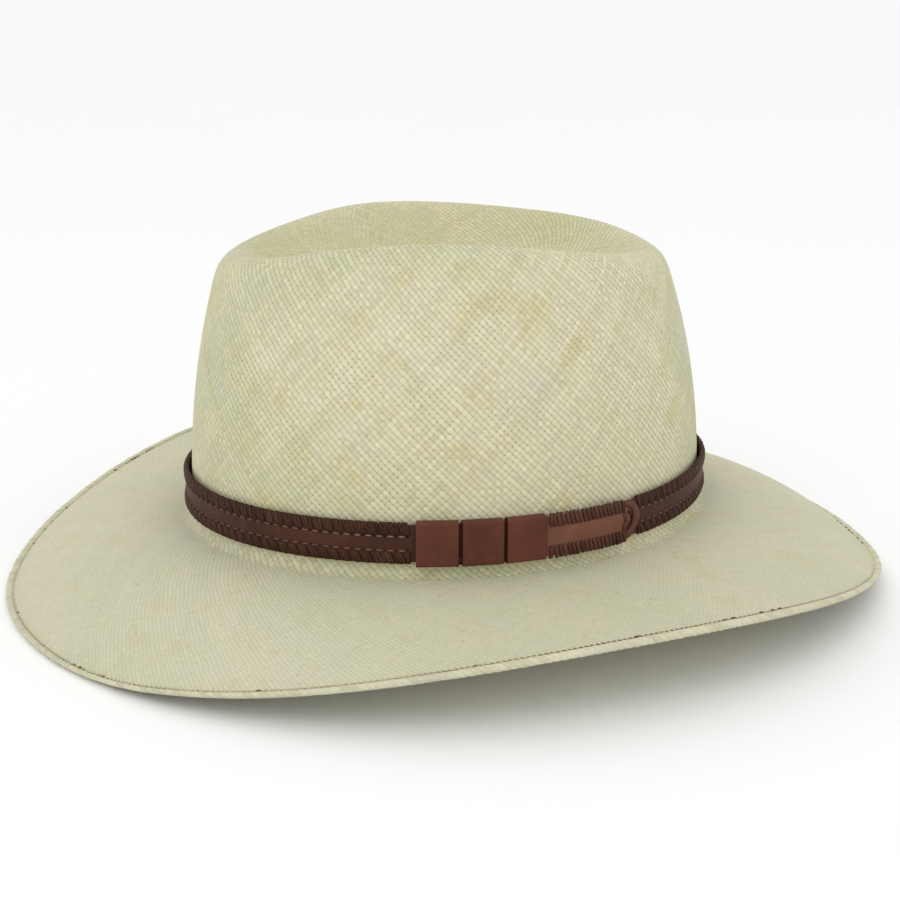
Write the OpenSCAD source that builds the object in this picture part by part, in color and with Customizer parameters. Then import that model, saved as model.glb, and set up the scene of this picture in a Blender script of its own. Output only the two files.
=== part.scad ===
// Woven straw hat with a wide saddle-shaped brim, a teardrop-dented crown and a laced leather band.
// Millimetres. +Z is up, the wearer's front faces -Y and the wearer's left is +X.
// The origin is the centre of the footprint, on the surface that the brim stands on.
// Angles round the hat are normal angles of the head oval: 0 is the wearer's left, 90 the back.

/* [Head oval] */
// Outside length of the straw crown where it meets the brim
crown_len = 202; // [190:1:212]
// Outside width of the straw crown where it meets the brim
crown_wid = 176; // [168:1:184]
// Radius of the oval's front and back arcs
end_r = 76; // [70:1:80]

/* [Crown] */
// Height of the crown's rim above the brim, at the sides
crown_h_side = 109.6; // [95:0.2:120]
// Height of the crown's rim above the brim, at the front
crown_h_front = 101.6; // [90:0.2:120]
// Height of the crown's rim above the brim, at the back
crown_h_back = 102.2; // [85:0.2:120]
// How much lower the rim runs between the sides and the ends
rim_sway = 0.9; // [0:0.1:6]
// How much higher the rim runs beside the front, and lower beside the back
rim_slope = 2.7; // [0:0.1:5]
// How much higher the rim runs at the left front and the right back than at their mirror places
rim_skew = 2; // [0:0.5:4]
// How far the side walls lean in, from the brim up to the rim
lean_side = 21; // [15:1:38]
// How far the front wall leans in
lean_front = 14; // [5:1:25]
// How far the back wall leans in
lean_back = 24; // [5:1:30]
// Extra narrowing of the rim towards the front, where fingers pinch it
front_narrowing = 6.4; // [0:0.1:12]
// Depth of the two shallow dents in the front of the side walls
pinch_depth = 3.5; // [0:0.5:6]
// Depth of the teardrop dent in the crown's top
dent_depth = 27; // [12:1:32]
// Thickness of the woven straw
straw_t = 1.2; // [0.8:0.1:1.6]

/* [Brim] */
// Width of the straw brim from the crown to its bound edge, at the sides
brim_w_side = 71.6; // [60:0.2:80]
// Width of the straw brim at the front and at the back
brim_w_end = 68.2; // [60:0.2:80]
// How far the brim's edge dips below the crown's foot, at the front and at the back
brim_dip = 25.4; // [15:0.2:34]
// Height of the brim's edge at the sides, relative to the crown's foot
brim_side = 1.8; // [-6:0.2:6]
// Radius of the bend between crown and brim
bend_r = 3.5; // [2.5:0.5:4]
// Width of the overcast straw edge
edge_w = 3; // [2:0.5:4]
// Height of the overcast straw edge
edge_h = 2.8; // [2:0.2:3.6]

/* [Sweatband] */
// Height of the leather sweatband inside the crown
sweat_h = 35; // [28:1:40]
// Thickness of the sweatband leather
sweat_t = 1; // [0.8:0.1:1.2]
// Diameter of the reed along the sweatband's lower edge
reed_d = 1.5; // [1.2:0.1:1.6]

/* [Leather hatband] */
// Height of the hatband's strap
band_h = 13.4; // [12:0.2:15]
// Gap between the crown's foot and the strap's lower edge
band_z = 6.1; // [5.7:0.1:7]
// Thickness of the strap
strap_t = 1.1; // [1:0.1:1.3]
// Height of the short tab that lies over the strap's joint
tab_h = 14.4; // [13.6:0.2:15.4]
// Thickness of the tab
tab_t = 1; // [0.8:0.1:1.2]
// Thickness of the leather of the keepers
keeper_t = 0.7; // [0.6:0.1:0.9]
// Thickness of the lacing that wraps the leather's edges
lace_t = 0.6; // [0.5:0.1:0.8]
// How far the lacing reaches onto the leather's face
lace_reach = 3.6; // [3:0.1:4.5]
// Angle of the front keeper's front edge, forwards of the wearer's left
keeper_start = 26.3; // [24:0.1:28]
// Width of each keeper, as an angle of the side arc
keeper_deg = 7.3; // [6:0.1:7.6]

/* [Hidden] */

// The head oval is four arcs that meet smoothly, so that every offset of it is four arcs too.
half_len = crown_len / 2;
half_wid = crown_wid / 2;
end_off = half_len - end_r;
side_r = (half_len^2 + half_wid^2 - 2 * half_len * end_r) / (2 * (half_wid - end_r));
side_off = side_r - half_wid;
arc_half = atan2(end_off, side_off);

// Sampling of the straw shell: steps round the hat, and steps along each stretch of its outline
round_steps = 72;
dent_steps = 6;
rim_steps = 7;
wall_steps = 9;
bend_steps = 3;
brim_steps = 8;

// Crown outline: the wall's fullness, where the rim's bend starts, and how tight that bend is
wall_power = 2.33;
rim_start = 0.88;
rim_tightness = 0.75;
dent_start = 0.8;
rim_overshoot = 4;
dent_centre_y = 4;

// Makes the largest value of cos(a)^2 * sin(a) one
quarter_share = 2.6;

// Front side dents: where they lie and how far they spread
pinch_angle = 30;
pinch_spread = 17;
pinch_level = 0.8;
pinch_tall = 0.2;

// Brim outline: part of the front and back that stands flat, and how the dip fades to the sides
flat_part = 0.21;
dip_power = 2.7;
dip_curve = 2.45;
edge_sides = 8;
ring_step = 5;
strip_step = 2.5;
stitch_share = 0.15;
stitch_size = 0.5;
stitch_lift = 0.1;

// Radial layout, as offsets from the straw's outer face at the crown's foot
hatband_gap = 0.3;
sliding_gap = 0.15;
keeper_slack = 0.35;
tab_gap = 0.2;
strap_in = hatband_gap + keeper_t + sliding_gap;
strap_out = strap_in + strap_t;
tab_in = strap_out + tab_gap;
tab_out = tab_in + tab_t;
keeper_in = hatband_gap;
keeper_out = tab_out + sliding_gap + keeper_t;
keeper_over = keeper_slack + keeper_t;
band_top = band_z + band_h;
lace_cap = 0.6;
tab_lace_cap = 1;
lace_gap = 0.12;
tab_lace_gap = 0.05;

// Angles along the wearer's left side arc
keeper_gaps = [0, 0.87, 0.7];
tab_tip = 18;
tab_tail = 25;
tab_r = tab_h / 2;
tab_z = band_z + band_h / 2;
strap_joint = -13;
joint_gap = 0.15;
joint_stitches = 3;
joint_stitch_w = 2.4;
joint_stitch_h = 0.6;
tab_lace_room = 0.7;
lace_from = tab_tip + 0.6;
lace_to = 360 - keeper_start - 1.4;

// Sweatband layout: it leans inwards from its reed to its free upper edge
reed_off = -straw_t - 0.4 - reed_d / 2;
reed_z = 0.6;
tape_t = 0.35;
tape_h = 9;
tape_off = -straw_t - 0.9;
sweat_off = tape_off - tape_t;
sweat_z = -1.2;
sweat_lean = 3.2;
thread_d = 0.5;
seam_from = -269.75;
seam_to = 89.75;
reed_sides = 8;
stitch_z = 1.6;
seam_stitches = 5;
seam_step = 4;
seam_w = 5;
seam_gap = 0.15;
sweat_knee = tape_h + 1;

// Bow: each loop is a lens between two arcs, whose centres lie off the bow's middle plane
bow_arc_r = 9;
bow_arc_off = 5;
bow_ribbon_t = 0.5;
bow_ribbon_w = 5;
bow_knot_w = 3.4;
bow_knot_d = 2.6;
bow_knot_over = 0.3;
bow_clear = 0.9;
bow_touch = 0.1;
bow_z = 4.3;

STRAW = "#cdc9a8";
STRAW_DARK = "#b5ad83";
LEATHER = "#5a3a30";
LEATHER_RED = "#6b4034";
LACE = "#4a2e26";
THREAD = "#b08a78";
SWEAT = "#8a6a4c";
RIBBON = "#2e2622";

// ---- Shape functions -------------------------------------------------------------------------

function unit(v) = v / norm(v);

// Point of the head oval's offset by d, at the normal angle a
function oval_point(a, d) =
    abs(sin(a)) >= sin(arc_half)
        ? [(end_r + d) * cos(a), sign(sin(a)) * end_off + (end_r + d) * sin(a)]
        : [-sign(cos(a)) * side_off + (side_r + d) * cos(a), (side_r + d) * sin(a)];

function front_back(a, front, back) = sin(a) < 0 ? front : back;

// Height of the crown's rim, and how far it leans in there
function rim_height(a) =
    crown_h_side * cos(a)^2 + front_back(a, crown_h_front, crown_h_back) * sin(a)^2
    - rim_sway * sin(2 * a)^2 - rim_slope * quarter_share * cos(a)^2 * sin(a) - rim_skew * sin(2 * a);
function rim_lean(a) =
    lean_side * cos(a)^2 + front_back(a, lean_front, lean_back) * sin(a)^2
    - front_narrowing * quarter_share * cos(a)^2 * sin(a);

// Inward depth of the front side dents, at the level t from 0 at the foot to 1 at the rim
function pinch(a, t) =
    let (left = (a > 180 ? a - 360 : a) + pinch_angle)
    let (right = a - 180 - pinch_angle)
    pinch_depth * (exp(-(left / pinch_spread)^2) + exp(-(right / pinch_spread)^2))
        * exp(-((t - pinch_level) / pinch_tall)^2);

// Outer face of the crown's wall, without the rim's rounding
function wall_point(a, t) =
    let (p = oval_point(a, -rim_lean(a) * t^wall_power - pinch(a, t)))
    [p.x, p.y, (rim_height(a) + rim_overshoot) * t];

// Outer face of the dent, at the fraction u from its middle to the rim
dent_middle = [0, dent_centre_y, crown_h_side + rim_overshoot - dent_depth];
function dent_point(a, u) =
    let (rim = wall_point(a, 1))
    [rim.x * u, dent_centre_y + (rim.y - dent_centre_y) * u,
     dent_middle.z + (rim.z - dent_middle.z) * u^2];

// Rounded rim: a cubic curve that leaves the wall and enters the dent along their own slopes
function rim_point(a, s) =
    let (p0 = wall_point(a, rim_start), p3 = dent_point(a, dent_start), top = wall_point(a, 1))
    let (p1 = p0 + (top - p0) * rim_tightness, p2 = p3 + (top - p3) * rim_tightness)
    p0 * (1 - s)^3 + p1 * 3 * s * (1 - s)^2 + p2 * 3 * s^2 * (1 - s) + p3 * s^3;

// Brim's upper face, at the fraction u from the crown's foot to the bound edge
function dip_share(a) =
    1 - max(0, (abs(cos(a)) - flat_part) / (1 - flat_part))^dip_power;
function brim_width(a) = (brim_w_side + brim_w_end) / 2 + (brim_w_side - brim_w_end) / 2 * cos(2 * a);
function brim_point(a, u) =
    let (p = oval_point(a, bend_r + (brim_width(a) - bend_r) * u))
    [p.x, p.y, brim_side * u^2 - brim_dip * dip_share(a) * u^dip_curve];

// Bend between the crown's wall and the brim: a quarter circle
function bend_point(a, s) =
    let (p = oval_point(a, bend_r * (1 - cos(s * 90))))
    [p.x, p.y, bend_r * (1 - sin(s * 90))];

wall_first = bend_r / (crown_h_side + rim_overshoot);

// The straw's outer face from the middle of the dent to the edge of the brim
function outline(a) = [
    for (i = [1:dent_steps]) dent_point(a, dent_start * i / dent_steps),
    for (i = [1:rim_steps]) rim_point(a, 1 - i / rim_steps),
    for (i = [1:wall_steps]) wall_point(a, rim_start + (wall_first * 1.3 - rim_start) * i / wall_steps),
    for (i = [0:bend_steps]) bend_point(a, i / bend_steps),
    for (i = [1:brim_steps]) brim_point(a, i / brim_steps)
];

round_angles = [for (i = [0:round_steps - 1]) i * 360 / round_steps];
outer = [for (a = round_angles) outline(a)];
rows = len(outer[0]);

// Outward normal of the outer face, from the points beside it
function outer_normal(i, j) =
    let (across = outer[(i + 1) % round_steps][j] - outer[(i + round_steps - 1) % round_steps][j])
    let (along = outer[i][min(j + 1, rows - 1)] - outer[i][max(j - 1, 0)])
    unit(cross(along, across));
inner = [for (i = [0:round_steps - 1])
    [for (j = [0:rows - 1]) outer[i][j] - straw_t * outer_normal(i, j)]];

// Ring of the edge's overcast straw: its section at step i, from the straw's upper corner round
function edge_section(i) =
    let (top = outer[i][rows - 1], low = inner[i][rows - 1])
    let (out = unit([cos(round_angles[i]), sin(round_angles[i]), 0]), up = unit(top - low))
    let (middle = (top + low) / 2)
    [top, for (k = [1:edge_sides - 2])
        let (t = 125 - 250 * (k - 0.5) / (edge_sides - 2))
        middle + out * edge_w * (cos(t) + 0.57) / 1.57 + up * edge_h / 2 * sin(t) / sin(72), low];
edge_ring = [for (i = [0:round_steps - 1]) edge_section(i)];

// The crown's foot stands this high, so that the lowest point of the edge is at zero
foot_z = -min([for (section = edge_ring) for (p = section) p.z]);

// Faces of a tube through sections of n points each. A closed tube joins its last section to its
// first, and an open one gets a flat cap at each end.
function tube_faces(sections, n, closed) = [
    for (i = [0:sections - (closed ? 1 : 2)]) for (j = [0:n - 1]) each [
        [i * n + j, i * n + (j + 1) % n, ((i + 1) % sections) * n + (j + 1) % n],
        [i * n + j, ((i + 1) % sections) * n + (j + 1) % n, ((i + 1) % sections) * n + j]
    ],
    if (!closed) [for (j = [n - 1:-1:0]) j],
    if (!closed) [for (j = [0:n - 1]) (sections - 1) * n + j]
];

module tube(sections, closed = true) {
    n = len(sections[0]);
    polyhedron([for (s = sections) each s], tube_faces(len(sections), n, closed), convexity = 10);
}

// Angles from a0 to a1, at every multiple of the step between them
function angles_between(a0, a1, step) =
    [a0, for (k = [ceil(a0 / step + 0.1):floor(a1 / step - 0.1)]) k * step, a1];

// Sweeps a profile, given as points [offset, height], along the oval from angle a0 to angle a1
module oval_sweep(a0, a1, profile) {
    tube([for (a = angles_between(a0, a1, ring_step)) [for (p = profile)
        let (q = oval_point(a, p[0])) [q.x, q.y, p[1]]]], closed = false);
}

// Upright strip along the oval, between two offsets and two heights
module oval_strip(a0, a1, off0, off1, z0, z1) {
    angles = angles_between(a0, a1, strip_step);
    last = len(angles) - 1;
    translate([0, 0, z0]) linear_extrude(z1 - z0)
        polygon([for (a = angles) oval_point(a, off1), for (i = [last:-1:0]) oval_point(angles[i], off0)]);
}

// A point on the wearer's left side arc: off outwards, s along the arc from the angle a, z up
function side_arc_point(a, off, s, z) =
    let (t = a + s / (side_r + off) * 180 / PI)
    [-side_off + (side_r + off) * cos(t), (side_r + off) * sin(t), z];

// A spot on the wearer's left side arc: x outwards, y along the arc, z up
module on_side_arc(a, off, z) {
    translate([-side_off, 0, z]) rotate(a) translate([side_r + off, 0, 0]) children();
}

module lifted() {
    translate([0, 0, foot_z]) children();
}

// ---- Straw -----------------------------------------------------------------------------------

// Crown and brim are woven in one piece: an outer and an inner skin, joined along the brim's edge
module straw_body() {
    n = round_steps;
    points = [for (j = [0:rows - 1]) for (i = [0:n - 1]) outer[i][j],
              for (j = [rows - 1:-1:0]) for (i = [0:n - 1]) inner[i][j],
              dent_middle, dent_middle - [0, 0, straw_t]];
    last = 2 * rows * n;
    faces = [
        for (j = [0:2 * rows - 2]) for (i = [0:n - 1]) each [
            [j * n + i, j * n + (i + 1) % n, (j + 1) * n + (i + 1) % n],
            [j * n + i, (j + 1) * n + (i + 1) % n, (j + 1) * n + i]
        ],
        for (i = [0:n - 1]) [last, (i + 1) % n, i],
        for (i = [0:n - 1]) [last + 1, (2 * rows - 1) * n + i, (2 * rows - 1) * n + (i + 1) % n]
    ];
    color(STRAW) lifted() polyhedron(points, faces, convexity = 10);
}

// Overcast straw that wraps the brim's edge
module brim_edge() {
    color(STRAW_DARK) lifted() tube(edge_ring);
}

// Row of thread that holds the overcast edge, along the brim's upper face
module brim_edge_stitches() {
    half = stitch_size / 2;
    low = [0, 0, stitch_lift];
    high = [0, 0, stitch_lift + half];
    color(THREAD) lifted() tube([for (line = outer)
        let (edge = line[rows - 1], before = line[rows - 2])
        let (p = edge + (before - edge) * stitch_share, out = unit(edge - before) * half)
        [p - out + high, p + out + high, p + out + low, p - out + low]]);
}

// ---- Sweatband -------------------------------------------------------------------------------

// Leather strip inside the crown, butted at the back
module sweatband() {
    color(SWEAT) lifted() oval_sweep(seam_from, seam_to, [
        [sweat_off - sweat_t, sweat_z], [sweat_off, sweat_z], [sweat_off, sweat_knee],
        [sweat_off - sweat_lean, sweat_h], [sweat_off - sweat_lean - sweat_t, sweat_h],
        [sweat_off - sweat_t, sweat_knee]]);
}

// Reed that stiffens the sweatband's lower edge
module sweatband_reed() {
    color(RIBBON) lifted() oval_sweep(seam_from, seam_to, [for (k = [0:reed_sides - 1])
        [reed_off, reed_z] + reed_d / 2 * [cos(k * 360 / reed_sides), sin(k * 360 / reed_sides)]]);
}

// Woven tape between the sweatband and the straw, above the reed
module sweatband_tape() {
    color(RIBBON) lifted()
        oval_strip(seam_from, seam_to, sweat_off, tape_off, reed_z + reed_d / 2 + 0.2, tape_h);
}

// Thread along the sweatband's lower edge, on its inner face
module sweatband_stitches() {
    face = sweat_off - sweat_t;
    color(THREAD) lifted()
        oval_strip(seam_from, seam_to, face - thread_d / 2, face, stitch_z, stitch_z + thread_d);
}

// Stitches that close the sweatband's butt joint at the back, above the bow
module sweatband_seam() {
    face = half_len + sweat_off - sweat_t - seam_gap;
    slope = sweat_lean / (sweat_h - sweat_knee);
    color(THREAD) lifted()
        for (i = [1:seam_stitches])
            translate([0, face - slope * seam_step * i - thread_d / 4, sweat_knee + seam_step * i])
                cube([seam_w, thread_d / 2, thread_d], center = true);
}

module bow_lens(arc_r, h) {
    translate([sqrt(bow_arc_r^2 - bow_arc_off^2), 0, 0]) intersection() {
        translate([0, bow_arc_off, 0]) cylinder(r = arc_r, h = h, $fn = round_steps);
        translate([0, -bow_arc_off, 0]) cylinder(r = arc_r, h = h, $fn = round_steps);
    }
}

// One loop of the bow, as a lens-shaped ribbon that stands on its edge
module bow_loop() {
    translate([bow_knot_w / 2 - bow_ribbon_t, 0, 0]) difference() {
        bow_lens(bow_arc_r, bow_ribbon_w);
        translate([0, 0, -1]) bow_lens(bow_arc_r - bow_ribbon_t, bow_ribbon_w + 2);
    }
}

// Small ribbon bow that covers the foot of the sweatband's joint
module sweatband_bow() {
    depth = bow_arc_r - bow_arc_off + bow_clear;
    knot = [bow_knot_w, depth + bow_knot_d / 2 - bow_touch, bow_ribbon_w + 2 * bow_knot_over];
    color(RIBBON) lifted() translate([0, half_len + sweat_off - sweat_t - depth, bow_z]) {
        bow_loop();
        mirror([1, 0, 0]) bow_loop();
        translate([-bow_knot_w / 2, -bow_knot_d / 2, -bow_knot_over]) cube(knot);
    }
}

// ---- Leather hatband -------------------------------------------------------------------------

// Leather strap round the crown; its two ends meet under the keepers
module hatband_strap() {
    color(LEATHER) lifted() oval_strip(strap_joint + joint_gap, strap_joint + 360 - joint_gap,
                                       strap_in, strap_out, band_z, band_top);
}

// Lacing over one edge of the strap: it runs where no keeper and no tab covers the strap
module strap_lacing(z, up) {
    near = strap_in - lace_gap;
    far = strap_out + lace_gap;
    corners = [[near, 0], [near, -lace_reach], [near - lace_t, -lace_reach],
               [near - lace_t, lace_cap], [far + lace_t, lace_cap],
               [far + lace_t, -lace_reach], [far, -lace_reach], [far, 0]];
    order = up > 0 ? [0:7] : [7:-1:0];
    color(LACE) lifted()
        oval_sweep(lace_from, lace_to, [for (k = order) [corners[k][0], z + up * corners[k][1]]]);
}

module hatband_lacing_upper() {
    strap_lacing(band_top, 1);
}

module hatband_lacing_lower() {
    strap_lacing(band_z, -1);
}

// Thread beside the lacing, along the strap's face
module strap_stitches(z) {
    color(THREAD) lifted() oval_strip(lace_from, lace_to, strap_out, strap_out + thread_d / 2,
                                      z - thread_d / 2, z + thread_d / 2);
}

module hatband_stitches_upper() {
    strap_stitches(band_top - lace_reach - 0.6);
}

module hatband_stitches_lower() {
    strap_stitches(band_z + lace_reach + 0.6);
}

// Stitches that join the strap's ends, on its outer face under the tab
module hatband_joint_stitches() {
    color(THREAD) lifted()
        for (i = [0.5:joint_stitches])
            on_side_arc(strap_joint, strap_out + tab_gap / 3, band_z + band_h * i / joint_stitches)
                cube([tab_gap / 3, joint_stitch_w, joint_stitch_h], center = true);
}

// Short leather tab over the strap's joint; it runs through the keepers to its round tip
module hatband_tab() {
    from = -tab_tail * PI / 180 * side_r;
    centre = tab_tip * PI / 180 * side_r - tab_r;
    straight = 12;
    lengths = [
        for (i = [0:straight]) [from + (centre - from) * i / straight, tab_r],
        for (t = [10:10:80]) [centre + tab_r * sin(t), tab_r * cos(t)],
        [centre + tab_r, tab_r * 0.05]
    ];
    color(LEATHER_RED) lifted() tube([for (p = lengths) [
        side_arc_point(0, tab_in, p[0], tab_z - p[1]), side_arc_point(0, tab_in, p[0], tab_z + p[1]),
        side_arc_point(0, tab_out, p[0], tab_z + p[1]), side_arc_point(0, tab_out, p[0], tab_z - p[1])
    ]], closed = false);
}

// Lacing along the tab's two edges and round its tip
module tab_lacing() {
    from = (keeper_rear_end + tab_lace_room) * PI / 180 * side_r;
    centre = tab_tip * PI / 180 * side_r - tab_r;
    straight = 8;
    path = [
        for (i = [0:straight - 1]) [from + (centre - from) * i / straight, 90],
        for (t = [90:-10:-90]) [centre, t],
        for (i = [straight - 1:-1:0]) [from + (centre - from) * i / straight, -90]
    ];
    color(LACE) lifted() tube([for (p = path) [for (q = [[-1, 0], [-1, 1], [1, 1], [1, 0]])
        let (r = tab_r + (q[0] > 0 ? tab_lace_cap : -lace_reach))
        side_arc_point(0, tab_out + tab_lace_gap + q[1] * lace_t, p[0] + r * cos(p[1]),
                       tab_z + r * sin(p[1]))
    ]], closed = false);
}

// ---- Keepers ---------------------------------------------------------------------------------

keeper_rear_end = -keeper_start + 3 * keeper_deg + keeper_gaps[1] + keeper_gaps[2];
function keeper_angle(i) =
    -keeper_start + i * keeper_deg + (i > 0 ? keeper_gaps[1] : 0) + (i > 1 ? keeper_gaps[2] : 0);

// Leather loop round strap and tab
module keeper(i) {
    z0 = tab_z - tab_r - keeper_over;
    z1 = tab_z + tab_r + keeper_over;
    color(LEATHER_RED) lifted() translate([-side_off, 0, 0]) rotate(keeper_angle(i))
        rotate_extrude(angle = keeper_deg, $fn = 180) translate([side_r, 0]) difference() {
            translate([keeper_in, z0]) square([keeper_out - keeper_in, z1 - z0]);
            translate([keeper_in + keeper_t, z0 + keeper_t])
                square([keeper_out - keeper_in - 2 * keeper_t, z1 - z0 - 2 * keeper_t]);
        }
}

module keeper_front() {
    keeper(0);
}

module keeper_middle() {
    keeper(1);
}

module keeper_rear() {
    keeper(2);
}

straw_body();
brim_edge();
brim_edge_stitches();
sweatband();
sweatband_reed();
sweatband_tape();
sweatband_stitches();
sweatband_seam();
sweatband_bow();
hatband_strap();
hatband_lacing_upper();
hatband_lacing_lower();
hatband_stitches_upper();
hatband_stitches_lower();
hatband_joint_stitches();
hatband_tab();
tab_lacing();
keeper_front();
keeper_middle();
keeper_rear();
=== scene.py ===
import math

import bpy
import numpy as np
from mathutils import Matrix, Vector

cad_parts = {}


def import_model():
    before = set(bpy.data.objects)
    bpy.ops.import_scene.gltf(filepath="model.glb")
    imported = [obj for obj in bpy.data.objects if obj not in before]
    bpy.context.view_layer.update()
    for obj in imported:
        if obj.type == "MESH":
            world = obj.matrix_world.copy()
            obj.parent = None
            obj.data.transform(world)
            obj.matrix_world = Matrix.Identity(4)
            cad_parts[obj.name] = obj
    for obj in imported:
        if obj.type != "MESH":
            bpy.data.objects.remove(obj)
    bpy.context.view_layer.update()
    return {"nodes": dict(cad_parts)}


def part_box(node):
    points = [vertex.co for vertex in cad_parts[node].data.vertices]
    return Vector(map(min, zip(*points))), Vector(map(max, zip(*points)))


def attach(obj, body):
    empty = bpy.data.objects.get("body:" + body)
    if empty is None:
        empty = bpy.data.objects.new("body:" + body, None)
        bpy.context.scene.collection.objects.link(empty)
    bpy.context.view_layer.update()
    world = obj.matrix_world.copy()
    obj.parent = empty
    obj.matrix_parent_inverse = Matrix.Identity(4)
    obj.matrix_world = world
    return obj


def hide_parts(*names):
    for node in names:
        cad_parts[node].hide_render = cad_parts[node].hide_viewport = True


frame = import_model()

# Looks of a woven straw hat with a laced leather band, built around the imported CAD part.
# Shapes are worked out in millimetres and stored in metres. +Z is up, the wearer's front faces -Y and
# the wearer's left is +X. Angles round the hat are normal angles of the head oval, in degrees: 0 is
# the wearer's left and 90 the back.

MM = 0.001
UPWARD = np.array([0.0, 0.0, 1.0])
RANDOM = np.random.default_rng(7)

# ---- Driving sizes. The straw, the strap and the sweatband are the CAD part's

# Across squared times along is at most 1 / QUARTER_SHARE, between the side and an end
QUARTER_SHARE = 2.6
CROWN_LENGTH = 202.0
CROWN_WIDTH = 176.0
END_R = 76.0
CROWN_H_SIDE = 109.6
CROWN_H_FRONT = 101.6
CROWN_H_BACK = 102.2
RIM_SWAY = 0.9
RIM_SLOPE = 2.7 * QUARTER_SHARE
RIM_SKEW = 2.0
LEAN_SIDE = 21.0
LEAN_FRONT = 14.0
LEAN_BACK = 24.0
FRONT_NARROWING = 6.4 * QUARTER_SHARE
WALL_POWER = 2.33
RIM_START = 0.88
RIM_TIGHTNESS = 0.75
RIM_OVERSHOOT = 4.0
DENT_START = 0.8
DENT_CENTRE_Y = 4.0
DENT_DEPTH = 27.0
PINCH_DEPTH = 3.5
PINCH_ANGLE = 30.0
PINCH_SPREAD = 17.0
PINCH_LEVEL = 0.8
PINCH_TALL = 0.2
STRAW_T = 1.2
BEND_R = 3.5
BRIM_W_SIDE = 71.6
BRIM_W_END = 68.2
BRIM_DIP = 25.4
BRIM_SIDE = 1.8
FLAT_PART = 0.21
DIP_POWER = 2.7
DIP_CURVE = 2.45

# The foot of the crown stands this high: the strap's lower edge lies BAND_Z above it
BAND_H = 13.4
BAND_Z = 6.1
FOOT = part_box("hatband_strap")[0].z / MM - BAND_Z

# Leather band. In and out are offsets from the crown's outer face at its foot, and places along it
# are normal angles
STRAP_IN, STRAP_OUT = 1.15, 2.25
STRAP_JOINT = -13.0
BAND_MID = BAND_Z + BAND_H / 2
LACE_FROM, LACE_TO = 18.6, 332.3
LACE_REACH = 3.6
HOLE_PITCH = 3.85
HOLE_ROW = LACE_REACH + 0.55
TAB_IN, TAB_OUT = 2.45, 3.45
TAB_TAIL, TAB_TIP = -25.0, 17.5
TAB_R = 7.2

# Keepers, whose cut edges reach a little further along the strap than the CAD part's
KEEPER_IN, KEEPER_OUT = 0.3, 4.3
KEEPER_T = 0.55
KEEPER_PLAY = 0.32
KEEPER_HALF_H = TAB_R + KEEPER_PLAY + KEEPER_T
KEEPER_START = -26.3
KEEPER_DEG = 7.3
KEEPER_GAPS = (0.0, 0.87, 0.7)
KEEPER_GROW = ((0.03, 0.15), (0.05, 0.06), (0.06, 0.03))
# Painted shade over each keeper's face, front to rear
KEEPER_PAINTED_SHADE = (0.12, 0.22, 0.0)

# Sweatband, as offsets from the crown's outer face at its foot
SWEAT_FACE = -3.45
SWEAT_T = 1.0
SWEAT_LOW, SWEAT_KNEE, SWEAT_TOP = -1.2, 10.0, 35.0
SWEAT_LEAN = 3.2
SEAM_FROM, SEAM_TO = -269.75, 89.75

# The head oval is four arcs that meet smoothly
HALF_L, HALF_W = CROWN_LENGTH / 2, CROWN_WIDTH / 2
END_OFF = HALF_L - END_R
SIDE_R = (HALF_L ** 2 + HALF_W ** 2 - 2 * HALF_L * END_R) / (2 * (HALF_W - END_R))
SIDE_OFF = SIDE_R - HALF_W
ARC_SIN = END_OFF / math.hypot(END_OFF, SIDE_OFF)


# ---- Shape of the straw

def cosd(angle):
    return np.cos(np.radians(angle))


def sind(angle):
    return np.sin(np.radians(angle))


def with_z(plan, z):
    return np.concatenate([plan, np.broadcast_to(z, plan.shape[:-1])[..., None]], -1)


def oval(angle, offset):
    """Plan points of the head oval's offset, at normal angles."""
    c, s = cosd(angle), sind(angle)
    at_end = np.abs(s) >= ARC_SIN
    x = np.where(at_end, (END_R + offset) * c, (SIDE_R + offset) * c - np.sign(c) * SIDE_OFF)
    y = np.where(at_end, (END_R + offset) * s + np.sign(s) * END_OFF, (SIDE_R + offset) * s)
    return np.stack([x, y], -1)


def front_back(angle, front, back):
    return np.where(sind(angle) < 0, front, back)


def rim_height(angle):
    ends = front_back(angle, CROWN_H_FRONT, CROWN_H_BACK)
    across, along = cosd(angle), sind(angle)
    return (CROWN_H_SIDE * across ** 2 + ends * along ** 2 - RIM_SWAY * sind(2 * angle) ** 2
            - RIM_SLOPE * across ** 2 * along - RIM_SKEW * sind(2 * angle))


def rim_lean(angle):
    ends = front_back(angle, LEAN_FRONT, LEAN_BACK)
    across, along = cosd(angle), sind(angle)
    return LEAN_SIDE * across ** 2 + ends * along ** 2 - FRONT_NARROWING * across ** 2 * along


def pinch(angle, level):
    """Inward depth of the two shallow dents in the front of the crown's side walls."""
    left = (angle + 180) % 360 - 180 + PINCH_ANGLE
    right = angle % 360 - 180 - PINCH_ANGLE
    round_them = np.exp(-(left / PINCH_SPREAD) ** 2) + np.exp(-(right / PINCH_SPREAD) ** 2)
    return PINCH_DEPTH * round_them * np.exp(-((level - PINCH_LEVEL) / PINCH_TALL) ** 2)


def wall_point(angle, level):
    """Outer face of the crown's wall, from level 0 at its foot to 1 at its rim."""
    plan = oval(angle, -rim_lean(angle) * level ** WALL_POWER - pinch(angle, level))
    return with_z(plan, (rim_height(angle) + RIM_OVERSHOOT) * level)


def dent_point(angle, share):
    """Upper face of the dent, from share 0 in its middle to 1 at the rim."""
    rim = wall_point(angle, 1.0)
    middle_z = CROWN_H_SIDE + RIM_OVERSHOOT - DENT_DEPTH
    x = rim[..., 0] * share
    y = DENT_CENTRE_Y + (rim[..., 1] - DENT_CENTRE_Y) * share
    return np.stack([x, y, middle_z + (rim[..., 2] - middle_z) * share ** 2], -1)


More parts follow.
